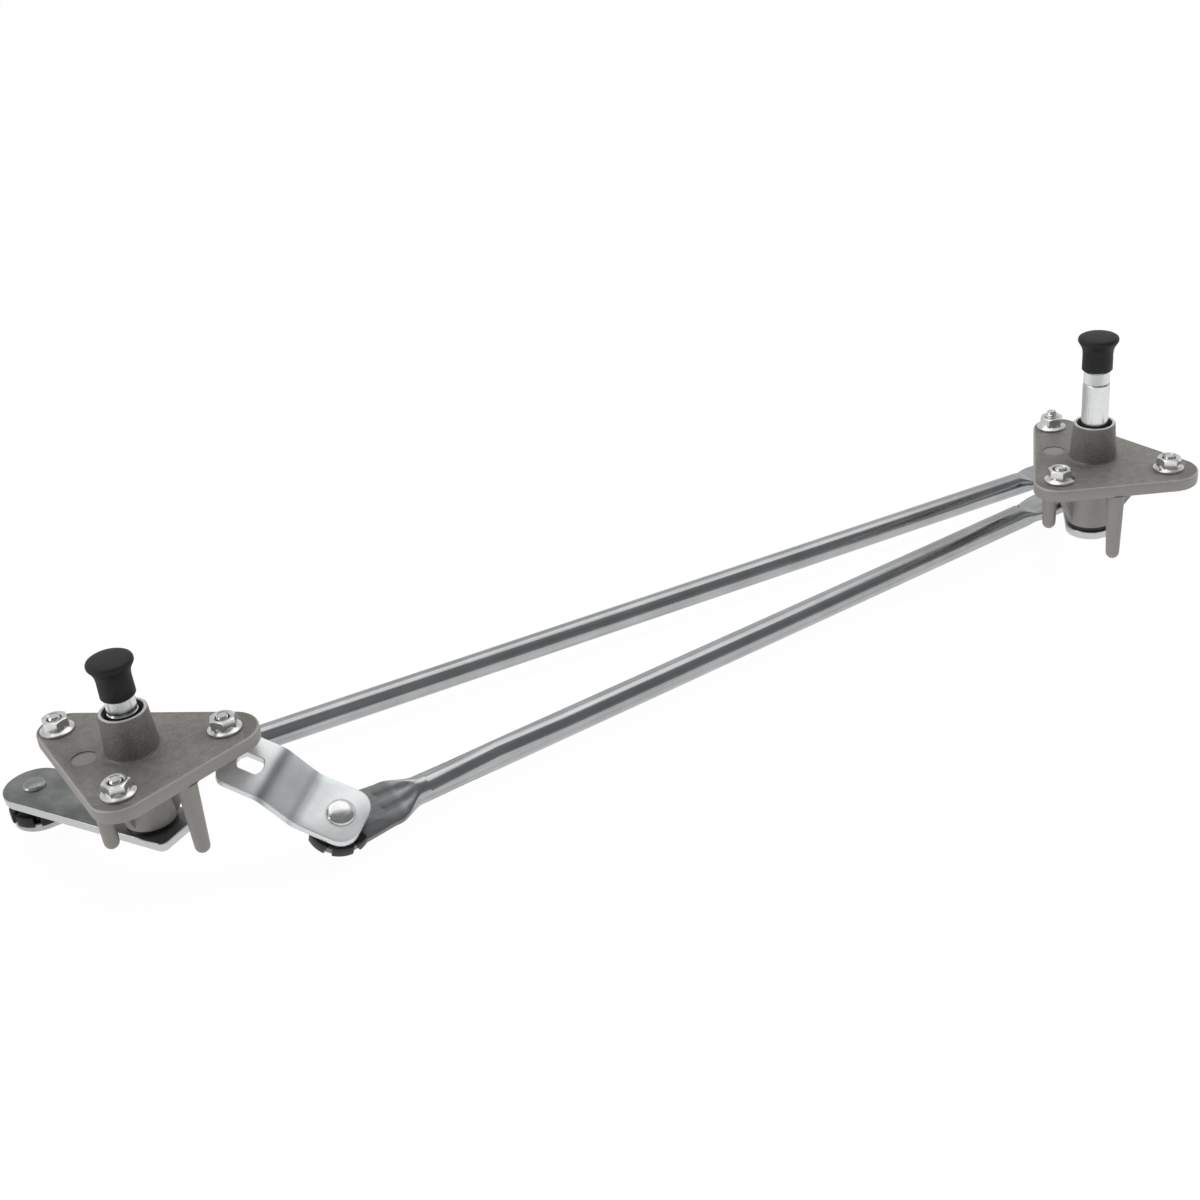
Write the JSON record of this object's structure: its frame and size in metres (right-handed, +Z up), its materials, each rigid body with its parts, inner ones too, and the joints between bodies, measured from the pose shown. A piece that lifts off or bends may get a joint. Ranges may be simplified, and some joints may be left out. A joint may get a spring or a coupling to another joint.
{
  "type": "windscreen wiper linkage",
  "caption": "Wiper linkage with cast triangular pivot housings, capped shafts, stamped levers, flattened-end tube links and a Z-bent motor arm.",
  "frame": {"origin": "left wiper shaft axis at the top face of the left housing plate", "axes": "+X towards the right wiper shaft, +Z up the wiper shafts, away from the links"},
  "size_m": [0.5951, 0.1382, 0.124],
  "materials": {
    "cast_aluminium": "as-cast, fine grain",
    "bronze": "sintered",
    "seal_rubber": "matt black",
    "zinc_fasteners": "bright zinc",
    "plated_shaft": "satin zinc",
    "zinc_stamping": "blue-white zinc",
    "tube_steel": "drawn steel, lightly oiled",
    "black_plastic": "moulded black",
    "cap_plastic": "matt black"
  },
  "bodies": {
    "left_pivot_housing": {"left_housing": "cast_aluminium", "left_upper_bush": "bronze", "left_lower_bush": "bronze", "left_shaft_seal": "seal_rubber", "left_studs": "zinc_fasteners", "left_flange_nuts": "zinc_fasteners"},
    "left_crank": {"left_shaft": "plated_shaft", "left_thrust_washer": "black_plastic", "left_lever": "zinc_stamping", "left_drag_stud": "zinc_fasteners"},
    "left_shaft_cap": {"left_cap": "cap_plastic"},
    "drag_link": {"drag_tube": "tube_steel", "drag_left_socket": "black_plastic", "drag_right_socket": "black_plastic"},
    "right_crank": {"right_shaft": "plated_shaft", "right_thrust_washer": "black_plastic", "right_lever": "zinc_stamping", "right_drag_stud": "zinc_fasteners", "right_drive_stud": "zinc_fasteners"},
    "right_pivot_housing": {"right_housing": "cast_aluminium", "right_upper_bush": "bronze", "right_lower_bush": "bronze", "right_shaft_seal": "seal_rubber", "right_studs": "zinc_fasteners", "right_flange_nuts": "zinc_fasteners"},
    "right_shaft_cap": {"right_cap": "cap_plastic"},
    "drive_link": {"drive_tube": "tube_steel", "drive_motor_socket": "black_plastic", "drive_right_socket": "black_plastic"},
    "motor_crank": {"motor_arm": "zinc_stamping", "motor_stud": "zinc_fasteners"}
  },
  "joints": [
    {"name": "left_pivot", "type": "hinge", "parent": "left_pivot_housing", "child": "left_crank", "pos_m": [0, 0, 0], "axis": [0, 0, 1], "range_deg": [-21, 45]},
    {"name": "left_drag_ball", "type": "hinge", "parent": "left_crank", "child": "drag_link", "pos_m": [-0.04092, 0.05431, -0.05], "axis": [0, 0, 1], "range_deg": [-5, 40]},
    {"name": "right_drag_ball", "type": "hinge", "parent": "drag_link", "child": "right_crank", "pos_m": [0.5288, 0.08125, -0.05], "axis": [0, 0, 1], "range_deg": [-2.5, 35]},
    {"name": "right_pivot", "type": "hinge", "parent": "right_crank", "child": "right_pivot_housing", "pos_m": [0.474, 0, 0], "axis": [0, 0, 1], "range_deg": [-45, 45]},
    {"name": "right_drive_ball", "type": "hinge", "parent": "right_crank", "child": "drive_link", "pos_m": [0.51091, 0.05472, -0.05], "axis": [0, 0, 1], "range_deg": [-2.5, 35]},
    {"name": "motor_ball", "type": "hinge", "parent": "drive_link", "child": "motor_crank", "pos_m": [0.07, -0.026, -0.05], "axis": [0.09, -0.4918, 0.866], "range_deg": [-100, 4]},
    {"name": "left_cap_pull", "type": "slide", "parent": "left_crank", "child": "left_shaft_cap", "axis": [0, 0, 1], "range_m": [0, 0.03]},
    {"name": "right_cap_pull", "type": "slide", "parent": "right_crank", "child": "right_shaft_cap", "axis": [0, 0, 1], "range_m": [0, 0.03]}
  ]
}
